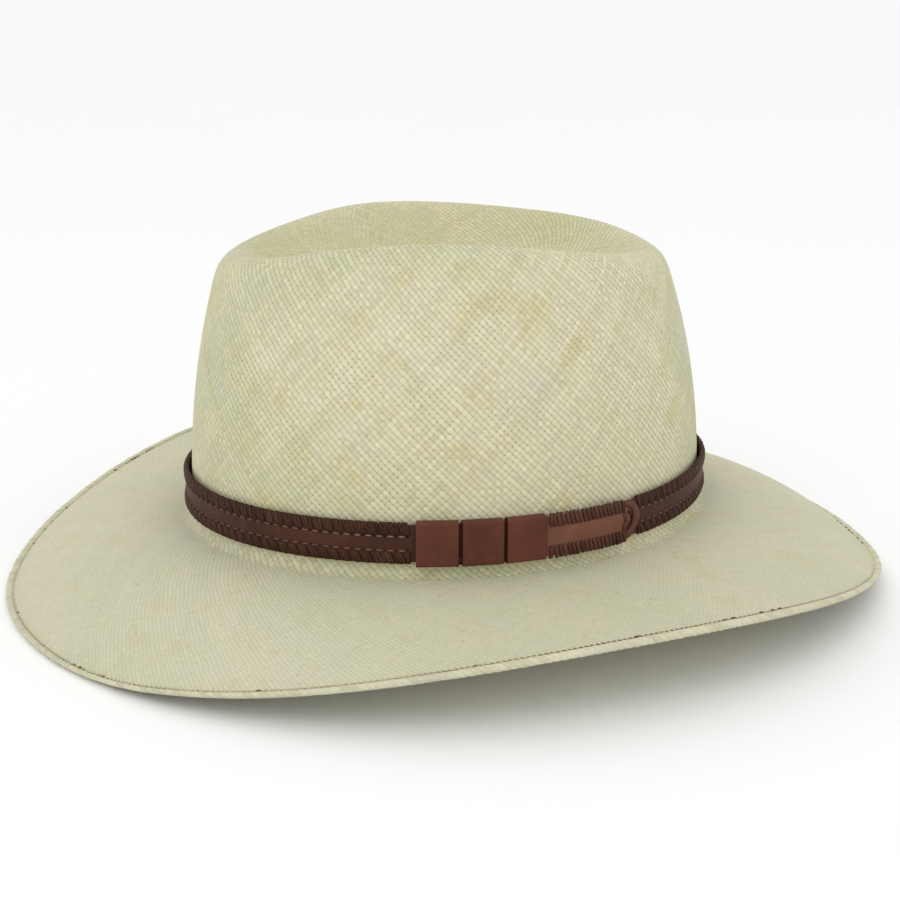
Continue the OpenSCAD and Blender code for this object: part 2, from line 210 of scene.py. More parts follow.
def rim_point(angle, share):
    """Rounded rim, from share 0 on the wall to 1 in the dent."""
    start, end, top = wall_point(angle, RIM_START), dent_point(angle, DENT_START), wall_point(angle, 1.0)
    near, far = start + (top - start) * RIM_TIGHTNESS, end + (top - end) * RIM_TIGHTNESS
    rest = 1 - share
    return start * rest ** 3 + near * 3 * share * rest ** 2 + far * 3 * share ** 2 * rest + end * share ** 3


def bend_point(angle, share):
    """Bend between the crown's wall and the brim."""
    plan = oval(angle, BEND_R * (1 - cosd(share * 90)))
    return with_z(plan, BEND_R * (1 - sind(share * 90)))


def brim_width(angle):
    return (BRIM_W_SIDE + BRIM_W_END) / 2 + (BRIM_W_SIDE - BRIM_W_END) / 2 * cosd(2 * angle)


def brim_point(angle, share):
    """Upper face of the brim, from share 0 at the bend to 1 at the edge."""
    fade = np.maximum(0, (np.abs(cosd(angle)) - FLAT_PART) / (1 - FLAT_PART)) ** DIP_POWER
    plan = oval(angle, BEND_R + (brim_width(angle) - BEND_R) * share)
    return with_z(plan, BRIM_SIDE * share ** 2 - BRIM_DIP * (1 - fade) * share ** DIP_CURVE)


# ---- Meshes

def unit(vectors):
    return vectors / np.maximum(np.linalg.norm(vectors, axis=-1, keepdims=True), 1e-9)


def grid_faces(rows, columns, outward=True):
    """Quads of a grid of rows round the hat, whose last column meets its first."""
    r, c = np.meshgrid(np.arange(rows - 1), np.arange(columns), indexing="ij")
    after = (c + 1) % columns
    corners = [r * columns + c, (r + 1) * columns + c, (r + 1) * columns + after, r * columns + after]
    faces = np.stack(corners if outward else corners[::-1], -1)
    return faces.reshape(-1, 4)


def loft(sections, closed=False):
    """Points and faces of tubes. The sections' axes are tube, step along it, point round it, and x y z."""
    tubes, steps, ring = sections.shape[:3]
    b, k, j = np.meshgrid(np.arange(tubes), np.arange(steps if closed else steps - 1), np.arange(ring),
                          indexing="ij")
    first, after, turn = b * steps * ring, (k + 1) % steps, (j + 1) % ring
    quads = np.stack([first + k * ring + j, first + k * ring + turn,
                      first + after * ring + turn, first + after * ring + j], -1).reshape(-1, 4).tolist()
    if not closed:
        for tube in range(tubes):
            start = tube * steps * ring
            end = start + (steps - 1) * ring
            quads.append([start + i for i in range(ring - 1, -1, -1)])
            quads.append([end + i for i in range(ring)])
    return sections.reshape(-1, 3), quads


def join(parts):
    """Points and faces of several meshes, as one."""
    points, faces = np.zeros((0, 3)), []
    for more, more_faces in parts:
        faces += [[i + len(points) for i in face] for face in more_faces]
        points = np.concatenate([points, more])
    return points, faces


def make(name, shape, material, body, node):
    """A mesh object from a shape's points and faces, in millimetres above the crown's foot. It rides on
    a CAD body and stands in for a node."""
    points, faces = shape
    mesh = bpy.data.meshes.new(name)
    placed = (np.asarray(points, float) + [0, 0, FOOT]) * MM
    mesh.from_pydata(placed.tolist(), [], faces.tolist() if isinstance(faces, np.ndarray) else faces)
    mesh.polygons.foreach_set("use_smooth", [True] * len(mesh.polygons))
    mesh.materials.append(material)
    thing = bpy.data.objects.new(name, mesh)
    bpy.context.scene.collection.objects.link(thing)
    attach(thing, body)
    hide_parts(node)
    return thing


def paint(thing, name, values, domain="POINT"):
    """Stores one number a point, or a face, for the material to read."""
    attribute = thing.data.attributes.new(name, "FLOAT", domain)
    attribute.data.foreach_set("value", np.asarray(values, np.float32))


def tint_each(thing, values):
    """Stores the tint of each of a mesh's equal parts."""
    paint(thing, "tint", np.repeat(values, len(thing.data.vertices) // len(values)))


def map_points(thing, name, values):
    """Stores a pair of numbers for each point as a UV layer."""
    layer = thing.data.uv_layers.new(name=name)
    corners = np.zeros(len(thing.data.loops), np.int32)
    thing.data.loops.foreach_get("vertex_index", corners)
    layer.data.foreach_set("uv", np.asarray(values, np.float32)[corners].ravel())


# ---- Materials

class Value:
    """A number or a vector in a material's node tree, with arithmetic."""

    def __init__(self, shader, socket):
        self.shader, self.socket = shader, socket

    def __add__(self, other):
        return self.shader.math("ADD", self, other)

    def __sub__(self, other):
        return self.shader.math("SUBTRACT", self, other)

    def __rsub__(self, other):
        return self.shader.math("SUBTRACT", other, self)

    def __mul__(self, other):
        return self.shader.math("MULTIPLY", self, other)

    __radd__ = __add__
    __rmul__ = __mul__

    def __mod__(self, other):
        return self.shader.math("FLOORED_MODULO", self, other)

    def floor(self):
        return self.shader.math("FLOOR", self)

    def size(self):
        return self.shader.math("ABSOLUTE", self)

    def power(self, exponent):
        return self.shader.math("POWER", self, exponent)


class Shader:
    """One material, built with short calls."""

    def __init__(self, name):
        self.material = bpy.data.materials.new(name)
        self.material.use_nodes = True
        self.tree = self.material.node_tree
        self.surface = self.tree.nodes["Principled BSDF"]

    def put(self, socket, value):
        if isinstance(value, Value):
            self.tree.links.new(value.socket, socket)
        else:
            socket.default_value = value

    def node(self, kind, inputs, output=0, **settings):
        node = self.tree.nodes.new("ShaderNode" + kind)
        for key, value in settings.items():
            setattr(node, key, value)
        for key, value in inputs.items():
            self.put(node.inputs[key], value)
        return Value(self, node.outputs[output])

    def math(self, operation, *values):
        return self.node("Math", dict(enumerate(values)), operation=operation)

    def attribute(self, name):
        return self.node("Attribute", {}, "Fac", attribute_name=name)

    def place(self):
        return self.node("TexCoord", {}, "Object")

    def vector(self, x, y, z=0.0):
        return self.node("CombineXYZ", {0: x, 1: y, 2: z})

    def uv(self, name):
        pair = self.node("UVMap", {}, uv_map=name)
        return self.node("SeparateXYZ", {0: pair}, 0), self.node("SeparateXYZ", {0: pair}, 1)

    def noise(self, where, scale, detail=2.0):
        return self.node("TexNoise", {"Vector": where, "Scale": scale, "Detail": detail})

    def random(self, number):
        return self.node("TexWhiteNoise", {"W": number}, noise_dimensions="1D")

    def pores(self, where):
        return self.node("TexVoronoi", {"Vector": where, "Scale": 1500.0})

    def ramp(self, value, low, high, to_low=0.0, to_high=1.0):
        """Smooth step of value from low to high."""
        return self.node("MapRange", {0: value, 1: low, 2: high, 3: to_low, 4: to_high},
                         interpolation_type="SMOOTHSTEP")

    def pick(self, share, a, b):
        """A number between a and b."""
        return self.node("Mix", {0: share, 2: a, 3: b}, data_type="FLOAT")

    def mix(self, share, a, b, blend="MIX"):
        """A colour between a and b."""
        return self.node("Mix", {0: share, 6: self.colour(a), 7: self.colour(b)}, 2,
                         data_type="RGBA", blend_type=blend)

    @staticmethod
    def colour(value):
        return value if isinstance(value, Value) else (*value, 1.0)

    def grey(self, value):
        return self.node("CombineColor", {0: value, 1: value, 2: value})

    def finish(self, colour, roughness, height, depth, specular=0.5):
        """Sets the surface. Height runs from 0 to 1 over depth in millimetres."""
        bump = self.node("Bump", {"Height": height, "Distance": depth * MM, "Strength": 1.0})
        self.put(self.surface.inputs["Base Color"], colour)
        self.put(self.surface.inputs["Roughness"], roughness)
        self.put(self.surface.inputs["Normal"], bump)
        self.put(self.surface.inputs["Specular IOR Level"], specular)
        return self.material


# Colours of the straw, in linear light
STRAW_CREAM = (0.645, 0.612, 0.430)
STRAW_GREEN = (0.548, 0.553, 0.362)
STRAW_YELLOW = (0.575, 0.530, 0.295)
STRAW_GREY = (0.600, 0.585, 0.480)
# Painted shade in the creases and holes between the straws
STRAW_GAP_SHADE = (0.31, 0.28, 0.15)
STRAW_BROWN = (0.40, 0.31, 0.15)
# Darker, yellower straw over the dent
STRAW_DENT = (0.540, 0.510, 0.290)
STRAW_BRIM = (0.580, 0.572, 0.425)


def straw_tint(shader, where):
    """Colour of the straw before its weave: pale cream with yellow, green and grey patches."""
    broad = shader.noise(where, 16.0, 3.0)
    small = shader.noise(where, 75.0, 2.0)
    tint = shader.mix(shader.ramp(broad, 0.42, 0.66), STRAW_CREAM, STRAW_GREEN)
    tint = shader.mix(shader.ramp(small, 0.5, 0.72) * 0.7, tint, STRAW_YELLOW)
    return shader.mix(shader.ramp(shader.noise(where, 31.0, 2.0), 0.52, 0.74) * 0.6, tint, STRAW_GREY)


def weave_material():
    """Plain weave of flat straws. The UV layer counts the straws that run each way."""
    shader = Shader("woven straw")
    where = shader.place()
    p, q = shader.uv("weave")
    relief = shader.attribute("relief")
    strands = shader.attribute("strands")
    wobble = (shader.noise(where, 260.0, 2.0) - 0.5) * 0.5
    p, q = p + wobble, q + (shader.noise(where, 310.0, 2.0) - 0.5) * 0.5
    cell_p, cell_q = p.floor(), q.floor()
    part_p, part_q = p - cell_p, q - cell_q
    over = (cell_p + cell_q) % 2.0
    across = shader.pick(over, part_p, part_q)
    along = shader.pick(over, part_q, part_p)
    straw = shader.pick(over, cell_p % strands, cell_q % strands + 917.0)
    cell = shader.random(cell_p * 1.37 + cell_q * 7.91)
    own = shader.random(straw)

    edge_p, edge_q = (part_p * 2.0 - 1.0).size(), (part_q * 2.0 - 1.0).size()
    fall_p = shader.ramp(edge_p, 0.35, 1.1)
    fall_q = shader.ramp(edge_q, 0.45, 1.15)
    swell = (1.0 - fall_p * 0.85) * (1.0 - fall_q * 0.5)
    corner = shader.ramp(edge_p + edge_q, 1.55, 2.0)
    fibre = shader.noise(shader.vector(across * 7.0 + straw * 3.3, along * 0.9 + cell_p + cell_q), 1.6, 2.0)
    height = swell * (0.86 + cell * 0.14) - corner * 0.35 + fibre * 0.12

    crown = shader.ramp(relief, 0.6, 0.9)
    colour = straw_tint(shader, where)
    group = shader.noise(shader.vector(straw * 0.21, over * 5.0), 1.0, 1.0)
    colour = shader.mix(shader.ramp(group, 0.5, 0.8) * 0.42, colour, STRAW_YELLOW)
    colour = shader.mix(shader.ramp(own, 0.93, 0.99) * 0.4, colour, STRAW_BROWN)
    colour = shader.mix((1.0 - crown) * 0.65, colour, STRAW_BRIM)
    colour = shader.mix(shader.attribute("dent_tone") * 0.6, colour, STRAW_DENT)
    speck = shader.ramp(shader.noise(where, 420.0, 1.0), 0.71, 0.78) * 0.4
    colour = shader.mix(speck, colour, STRAW_BROWN)
    vary = crown * 0.5 + 0.5
    light = 0.98 + ((own - 0.5) * 0.14 + (cell - 0.5) * 0.11 + fibre * 0.12) * vary
    colour = shader.mix(1.0, colour, shader.grey(light), "MULTIPLY")
    # Painted shade: the creases between the straws and the holes at their corners are darkened, more in
    # patches
    holes = shader.ramp(shader.noise(where, 48.0, 3.0), 0.4, 0.68)
    gap_shade = fall_p * 0.32 + fall_q * (0.28 - crown * 0.16) + corner * (holes * crown * 0.9 + 0.15)
    colour = shader.mix(gap_shade * relief, colour, STRAW_GAP_SHADE)
    return shader.finish(colour, 0.6 + fibre * 0.15, height * relief, 0.2, 0.2)


def fibre_material(name, base, dark):
    """Straw or thread: fine lengthways streaks, and a colour that varies from piece to piece. On the
    overcast edge and the band stitches the tint also carries painted shade.
    """
    shader = Shader(name)
    where = shader.place()
    tint = shader.attribute("tint")
    streak = shader.noise(where, 900.0, 2.0)
    colour = shader.mix(shader.ramp(tint, 0.0, 1.0), base, dark)
    mottle = tuple(0.8 * part for part in base)
    colour = shader.mix(shader.ramp(shader.noise(where, 60.0, 2.0), 0.45, 0.7) * 0.6, colour, mottle)
    colour = shader.mix(1.0, colour, shader.grey(0.82 + streak * 0.34), "MULTIPLY")
    return shader.finish(colour, 0.6 + streak * 0.15, streak, 0.12, 0.2)


def leather_material(name, base, dark, worn, gloss=0.42, grain=0.05):
    """Smooth leather with a fine grain, mottling, and paler worn places. The tint darkens it, which on the
    keepers, the tab and one tip lace is painted shade.
    """
    shader = Shader(name)
    where = shader.place()
    tint = shader.attribute("tint")
    pores = shader.pores(where)
    broad = shader.noise(where, 45.0, 4.0)
    fine = shader.noise(where, 420.0, 3.0)
    scuff = shader.ramp(shader.noise(where, 130.0, 5.0), 0.56, 0.75)
    mottle = tuple(0.72 * part for part in base)
    colour = shader.mix(shader.ramp(broad, 0.35, 0.7), base, mottle)
    colour = shader.mix(shader.ramp(tint, 0.0, 1.0) * 0.85, colour, dark)
    colour = shader.mix(scuff * 0.35, colour, worn)
    colour = shader.mix(1.0, colour, shader.grey(0.88 + fine * 0.24), "MULTIPLY")
    height = pores * 0.5 + fine * 0.7 + broad * 0.4
    sheen = 0.14 - shader.ramp(tint, 0.5, 1.0) * 0.12
    return shader.finish(colour, gloss + fine * 0.16 - scuff * 0.05, height, grain, sheen)


def strap_material():
    """Strap leather, with a row of punched lacing holes along each edge, drawn as bumps with painted shade,
    fainter in the lower row.
    """
    shader = Shader("strap leather")
    where = shader.place()
    along, up = shader.uv("band")
    row = ((up - BAND_MID).size() - (BAND_H / 2 - HOLE_ROW)).size()
    hole_part = ((along - HOLE_PHASE + HOLE_PITCH / 2) % HOLE_PITCH - HOLE_PITCH / 2).size()
    hole = shader.ramp(row.power(2.0) + (hole_part * 0.75).power(2.0), 0.06, 0.34, 1.0, 0.0)
    hole = hole * shader.ramp(up, BAND_MID - 1, BAND_MID + 1, 0.5, 1.0)
    pores = shader.pores(where)
    broad = shader.noise(where, 45.0, 4.0)
    fine = shader.noise(where, 420.0, 3.0)
    colour = shader.mix(shader.ramp(broad, 0.35, 0.7), STRAP_BASE, STRAP_DARK)
    colour = shader.mix(shader.ramp(shader.noise(where, 130.0, 5.0), 0.56, 0.75) * 0.3, colour, STRAP_WORN)
    # Painted shade in the punched holes
    colour = shader.mix(hole * 0.9, colour, STRAP_HOLE_SHADE)
    height = pores * 0.04 + fine * 0.06 + broad * 0.04 + (1.0 - hole)
    return shader.finish(colour, 0.45 + fine * 0.16, height, 0.4, 0.14)


RIB_PITCH = 0.7


def ribbon_material():
    """Ribbed ribbon, near black."""
    shader = Shader("ribbed ribbon")
    where = shader.place()
    height = shader.node("SeparateXYZ", {0: where}, 2)
    rib = shader.math("SINE", height * (2 * math.pi / (RIB_PITCH * MM))) * 0.5 + 0.5
    fuzz = shader.noise(where, 900.0, 2.0)
    colour = shader.mix(fuzz * 0.7 + rib * 0.3, (0.016, 0.012, 0.010), (0.055, 0.042, 0.034))
    return shader.finish(colour, 0.62 + fuzz * 0.2, rib * 0.7 + fuzz * 0.3, 0.15, 0.3)


def reed_material():
    """Dark cord along the sweatband's lower edge."""
    shader = Shader("reed")
    where = shader.place()
    streak = shader.noise(where, 500.0, 3.0)
    colour = shader.mix(streak, (0.05, 0.035, 0.025), (0.12, 0.085, 0.06))
    return shader.finish(colour, 0.45 + streak * 0.2, streak, 0.08)


STRAP_BASE = (0.072, 0.026, 0.0165)
STRAP_DARK = (0.050, 0.019, 0.0125)
STRAP_WORN = (0.115, 0.05, 0.034)
# Painted shade inside the punched lacing holes
STRAP_HOLE_SHADE = (0.008, 0.005, 0.004)

WEAVE = weave_material()
EDGE_STRAW = fibre_material("overcast straw", (0.63, 0.61, 0.44), (0.50, 0.48, 0.32))
EDGE_THREAD = fibre_material("edge stitches", (0.60, 0.57, 0.40), (0.09, 0.08, 0.04))
BAND_THREAD = fibre_material("band stitches", (0.30, 0.165, 0.125), (0.15, 0.07, 0.05))
SWEAT_THREAD = fibre_material("sweatband stitches", (0.42, 0.30, 0.17), (0.28, 0.18, 0.09))
LACE_LEATHER = leather_material("lace leather", (0.064, 0.024, 0.014), (0.020, 0.008, 0.005),
                                (0.13, 0.062, 0.045))
# Its dark colour is painted shade where the tab runs under the keepers
TAB_LEATHER = leather_material("tab leather", (0.205, 0.083, 0.054), (0.012, 0.006, 0.004),
                               (0.23, 0.11, 0.08), 0.38)
TAB_LACE = leather_material("tab lace leather", (0.115, 0.047, 0.032), (0.018, 0.008, 0.006),
                            (0.18, 0.085, 0.062))
# Its dark colour is painted shade on the keepers' insides, cut sides and faces
KEEPER_LEATHER = leather_material("keeper leather", (0.134, 0.041, 0.0265), (0.016, 0.007, 0.005),
                                  (0.15, 0.058, 0.038))
SWEAT_LEATHER = leather_material("sweatband leather", (0.26, 0.145, 0.07), (0.17, 0.088, 0.04),
                                 (0.34, 0.21, 0.11), 0.45, 0.08)
RIBBON = ribbon_material()
REED = reed_material()


# ---- Woven straw

COLUMNS = 288
HUB_SHARE = 0.006
DENT_ROWS = 40
RIM_ROWS = 28
WALL_ROWS = 44
BEND_ROWS = 7
BRIM_RINGS, BRIM_STEPS = 8, 7

# Pitch of the weave's cells. A lattice of straws crosses the middle of the dent, and rings of slanted
# straws follow it. The inner half of the rim belongs to the last of them, the outer half to the wall
LATTICE_ROWS, LATTICE_CELL = 15, 2.6
TIP_RINGS, TIP_CELL = (8, 8, 9, RIM_ROWS // 2), 2.6
WALL_STRANDS, WALL_CELL = 214, 2.75
BRIM_CELL = 2.05
NEVER_REPEATS = 4096
BRIM_RELIEF = 0.55
DENT_TONE_ROWS, DENT_TONE_FADE = 52.0, 12.0


def straw_rows(angles):
    """Outer face of the straw, row by row from the middle of the dent to the brim's edge. Each zone of
    the weave is (rows, pitch of its cells, relief), and starts on the last row of the zone before."""
    foot_level = BEND_R / (CROWN_H_SIDE + RIM_OVERSHOOT) * 1.3
    dent = [dent_point(angles, share) for share in np.linspace(HUB_SHARE, DENT_START, DENT_ROWS + 1)]
    rim = [rim_point(angles, share) for share in np.linspace(1, 0, RIM_ROWS + 1)[1:]]
    wall = [wall_point(angles, level) for level in np.linspace(RIM_START, foot_level, WALL_ROWS + 1)[1:]]
    bend = [bend_point(angles, share) for share in np.linspace(0, 1, BEND_ROWS)]
    brim = [brim_point(angles, share) for share in np.linspace(0, 1, BRIM_RINGS * BRIM_STEPS + 1)[1:]]
    zones = [(LATTICE_ROWS, LATTICE_CELL, 1.0)]
    zones += [(rows, TIP_CELL, 1.0) for rows in TIP_RINGS]
    zones += [(RIM_ROWS // 2 + WALL_ROWS + BEND_ROWS, WALL_CELL, 1.0)]
    zones += [(BRIM_STEPS, BRIM_CELL, BRIM_RELIEF)] * BRIM_RINGS
    return np.array(dent + rim + wall + bend + brim), zones


def weave_zone(points, cell, number):
    """Counts of straws each way over one zone's rows, with the closing column, and the straws round it."""
    closed = np.concatenate([points, points[:, :1]], 1)
    if number == 0:
        p = (closed[..., 0] + closed[..., 1]) / cell
        q = (closed[..., 0] - closed[..., 1]) / cell
        return np.stack([p, q], -1), NEVER_REPEATS
    middle = closed[len(closed) // 2]
    round_it = np.concatenate([[0], np.cumsum(np.linalg.norm(np.diff(middle, axis=0), axis=-1))])
    strands = WALL_STRANDS if cell == WALL_CELL else round(round_it[-1] / cell)
    turn = round_it / round_it[-1] * strands
    down = np.concatenate([np.zeros((1, closed.shape[1])),
                           np.cumsum(np.linalg.norm(np.diff(closed, axis=0), axis=-1), 0)]) / cell
    if cell == WALL_CELL:
        down = down - down[-1]
    return np.stack([turn - down, turn + down], -1), strands


def straw_skin(name, points, zones, source, outward):
    """One face of the straw, closed by a fan in the middle of the dent, with its weave measured on the
    source rows."""
    columns = points.shape[1]
    faces = grid_faces(len(points), columns, outward)
    corner_uv, strands, relief = [], [], []
    row = 0
    for number, (steps, cell, depth) in enumerate(zones):
        uv, count = weave_zone(source[row:row + steps + 1], cell, number)
        here, after = uv[:-1, :-1], uv[:-1, 1:]
        low, low_after = uv[1:, :-1], uv[1:, 1:]
        order = [here, low, low_after, after]
        corner_uv.append(np.stack(order if outward else order[::-1], 2).reshape(-1, 4, 2))
        strands += [count] * (steps * columns)
        relief += [depth] * (steps * columns)
        row += steps
    assert row == len(points) - 1
    middle = len(points) * columns
    hub = points[0].mean(0)
    after = (np.arange(columns) + 1) % columns
    fan = np.stack([np.full(columns, middle), np.arange(columns), after][::1 if outward else -1], -1)
    shape = np.concatenate([points.reshape(-1, 3), [hub]]), faces.tolist() + fan.tolist()
    thing = make(name, shape, WEAVE, "root", "straw_body")
    rim = source[0]
    fan_points = np.stack([np.broadcast_to(hub, rim.shape), rim, rim[after]][::1 if outward else -1], 1)
    fan_x, fan_y = fan_points[..., 0], fan_points[..., 1]
    fan_uv = np.stack([fan_x + fan_y, fan_x - fan_y], -1)
    layer = thing.data.uv_layers.new(name="weave")
    layer.data.foreach_set("uv", np.concatenate([np.concatenate(corner_uv).ravel(),
                                                 (fan_uv / LATTICE_CELL).ravel()]).astype(np.float32))
    paint(thing, "strands", strands + [NEVER_REPEATS] * columns, "FACE")
    paint(thing, "relief", relief + [1.0] * columns, "FACE")
    # Darker, yellower straw over the whole dent, fading out over the inner part of the rim
    dent_tone_share = np.clip((DENT_TONE_ROWS - np.arange(len(points) - 1)) / DENT_TONE_FADE, 0, 1)
    paint(thing, "dent_tone", np.concatenate([np.repeat(dent_tone_share, columns), np.ones(columns)]), "FACE")


def face_normals(points):
    """Outward normals of rows of points round the hat."""
    down = np.gradient(points, axis=0)
    round_it = np.roll(points, -1, 1) - np.roll(points, 1, 1)
    return unit(np.cross(down, round_it))


ANGLES = np.arange(COLUMNS) * 360.0 / COLUMNS - 180.0
outer, weave_zones = straw_rows(ANGLES)
inner = outer - STRAW_T * face_normals(outer)
straw_skin("straw_outer", outer, weave_zones, outer, True)
straw_skin("straw_inner", inner, weave_zones, outer, False)


# ---- Brim edge

WRAPS = 400
WRAP_STEPS = 8
ROLL_RING = 16
ROLL_REACH = 1.6
ROLL_OFF = 1.3
ROLL_HALF_H = 1.4
EDGE_STITCHES = 560


def brim_frames(angles):
    """Middle of the straw's edge at each angle, with the ways out and up from it."""
    top = brim_point(angles, np.ones_like(angles))
    inside = brim_point(angles, np.full_like(angles, 0.97))
    out = np.stack([cosd(angles), sind(angles), np.zeros_like(angles)], -1)
    tangent = np.stack([-sind(angles), cosd(angles), np.zeros_like(angles)], -1)
    up = unit(np.cross(unit(top - inside), tangent))
    return top - up * STRAW_T / 2, out, up


def even_angles(count, offset):
    """Normal angles at even steps round the oval's offset."""
    fine = np.linspace(-180, 180, 3601)
    steps = np.linalg.norm(np.diff(oval(fine, offset), axis=0), axis=-1)
    length = np.concatenate([[0], np.cumsum(steps)])
    return np.interp(np.arange(count) / count * length[-1], length, fine)


def brim_roll():
    """Overcast straw: slanted turns round the edge, with a crease between each and the next, darkened by
    painted shade.
    """
    count = WRAPS * WRAP_STEPS
    angles = even_angles(count, BRIM_W_SIDE)
    middle, out, up = brim_frames(angles)
    turn = np.arange(ROLL_RING) * 360.0 / ROLL_RING
    phase = np.arange(count)[:, None] / WRAP_STEPS + 3 * turn[None] / 360
    part = phase % 1.0
    swell = 1 - 0.17 * np.abs(2 * part - 1) ** 3
    own = RANDOM.random(WRAPS)[np.floor(phase).astype(int) % WRAPS]
    swell = swell * (0.94 + 0.1 * own)
    reach = (ROLL_REACH * swell * cosd(turn))[..., None]
    rise = (ROLL_HALF_H * swell * sind(turn))[..., None]
    points = (middle + out * ROLL_OFF)[:, None] + out[:, None] * reach + up[:, None] * rise
    roll = make("brim_roll", loft(points[None, :, ::-1], closed=True), EDGE_STRAW, "root",
                "brim_edge")
    # The tint is each turn's own tone, plus painted shade that darkens the turns towards the crease between
    # them
    paint(roll, "tint", (own ** 2 * 0.7 + 0.3 * np.abs(2 * part - 1) ** 3)[:, ::-1].ravel())


def strands(centres, sideways, width, thick, ring=6):
    """Flat rounded strands. Centres' axes are strand, step and x y z; sideways is the way across them."""
    forward = unit(np.gradient(centres, axis=1))
    across = sideways - (sideways * forward).sum(-1, keepdims=True) * forward
    across = unit(np.broadcast_to(across, centres.shape))
    rise = np.cross(forward, across)
    turn = np.arange(ring) * 360.0 / ring
    half_w = np.broadcast_to(width, centres.shape[:2])[..., None, None] / 2
    half_t = np.broadcast_to(thick, centres.shape[:2])[..., None, None] / 2
    return centres[:, :, None] + (across[:, :, None] * half_w * cosd(turn)[:, None]
                                  + rise[:, :, None] * half_t * sind(turn)[:, None])


def edge_stitches():
    """Short turns of thread along the inner border of the overcast edge. Most are the straw's colour,
    and a few in short runs are dark."""
    angles = even_angles(EDGE_STITCHES, BRIM_W_SIDE)
    middle, out, up = brim_frames(angles)
    along = np.cross(up, out)
    reach = np.array([-1.5, -1.3, -0.85, -0.3, 0.0])
    rise = np.array([0.45, 0.72, 0.98, 1.2, 1.05])
    lean = np.array([-0.35, -0.25, 0.0, 0.25, 0.35])
    centres = (middle[:, None] + (out[:, None] * reach[:, None]) + up[:, None] * rise[:, None]
               + along[:, None] * lean[:, None])
    taper = np.array([0.4, 0.9, 1.0, 0.9, 0.4])
    wide = RANDOM.uniform(1.25, 1.8, EDGE_STITCHES)[:, None] * taper
    turns = loft(strands(centres, along[:, None], wide, 0.5 * taper))
    thread = make("edge_stitches", turns, EDGE_THREAD, "root", "brim_edge_stitches")
    run = np.sin(np.radians(angles * 5 + 40)) + np.sin(np.radians(angles * 13 + 250)) > 0.7
    dark_share = np.where(run, 0.3, 0.02)
    shade = np.where(RANDOM.random(EDGE_STITCHES) < dark_share,
                     RANDOM.uniform(0.4, 1.0, EDGE_STITCHES), RANDOM.uniform(0.0, 0.16, EDGE_STITCHES))
    tint_each(thread, shade)


brim_roll()
edge_stitches()


# ---- Leather band, laid out flat as (out, along, up) and then bent round the crown

# Lengths along the strap's outer face, over a little more than two turns
FINE_ANGLES = np.linspace(-200, 560, 7601)
FINE_LENGTHS = np.concatenate([[0], np.cumsum(np.linalg.norm(np.diff(oval(FINE_ANGLES, STRAP_OUT), axis=0),
                                                            axis=-1))])
FINE_LENGTHS -= np.interp(0, FINE_ANGLES, FINE_LENGTHS)


def along_at(angle):
    """Length along the strap's outer face, from the wearer's left to the normal angle."""
    return float(np.interp(angle, FINE_ANGLES, FINE_LENGTHS))


def wrap_round(points):
    """Bends flat points (out, along, up) round the crown's foot."""
    angles = np.interp(points[..., 1], FINE_LENGTHS, FINE_ANGLES)
    return with_z(oval(angles, points[..., 0]), points[..., 2])


HOLE_PHASE = along_at(LACE_TO) - 0.3
STRAP_LEATHER = strap_material()


def rounded_section(near, far, low, high, corner, steps=3):
    """Corners of a rounded rectangle as (out, up), from its top round its outer face."""
    section = []
    for centre_out, centre_up, start in ((far - corner, high - corner, 90), (far - corner, low + corner, 0),
                                         (near + corner, low + corner, -90),
                                         (near + corner, high - corner, -180)):
        for step in range(steps + 1):
            turn = start - 90 * step / steps
            section.append((centre_out + corner * cosd(turn), centre_up + corner * sind(turn)))
    return np.array(section)


def flat_strip(section, lengths):
    """Sections of a strip that runs along the band."""
    out = np.broadcast_to(section[:, 0], (len(lengths), len(section)))
    up = np.broadcast_to(section[:, 1], (len(lengths), len(section)))
    along = np.broadcast_to(lengths[:, None], out.shape)
    return np.stack([out, along, up], -1)[None]


def strap():
    """Strap round the crown, whose ends meet under the middle keeper."""
    lengths = np.linspace(along_at(STRAP_JOINT + 0.15), along_at(STRAP_JOINT + 359.85), 360)
    flat = flat_strip(rounded_section(STRAP_IN, STRAP_OUT, BAND_Z, BAND_Z + BAND_H, 0.35), lengths)
    band = make("hatband_leather", loft(wrap_round(flat)), STRAP_LEATHER, "hatband",
                "hatband_strap")
    map_points(band, "band", flat.reshape(-1, 3)[:, 1:])


def edge_path(out, inner_out, fan, lean, swell):
    """Steps of one lace from its hole on the outer face, over the edge and down behind the leather.
    Each step is (out, along, up from the edge). Fan and lean shift it along, swell lifts it."""
    reach = LACE_REACH + 0.25
    steps = [(out - 0.25, 0.6 * fan, -reach + 0.12 * np.abs(fan)),
             (out + 0.22 + swell * 0.4, 0.7 * fan + 0.08 * lean, -reach + 0.5),
             (out + 0.34 + swell, 0.85 * fan + 0.38 * lean, -reach * 0.55),
             (out + 0.30 + swell, 0.97 * fan + 0.72 * lean, -0.75),
             (out + 0.02 + swell * 0.5, fan + 0.92 * lean, 0.34 + swell * 0.6),
             ((out + inner_out) / 2, fan + lean, 0.6 + swell * 0.8),
             (inner_out - 0.05, fan + lean, 0.3),
             (inner_out - 0.3, fan + lean, -0.9),
             (inner_out - 0.25, fan + lean, -reach + 0.6)]
    return np.stack([np.stack(np.broadcast_arrays(*step), -1) for step in steps], 1)


def hole_places():
    """Lengths along the strap of its lacing holes. The last lies next to the front keeper."""
    count = int((along_at(LACE_TO) - along_at(LACE_FROM) - 0.6) / HOLE_PITCH)
    return HOLE_PHASE - np.arange(count, -1, -1) * HOLE_PITCH


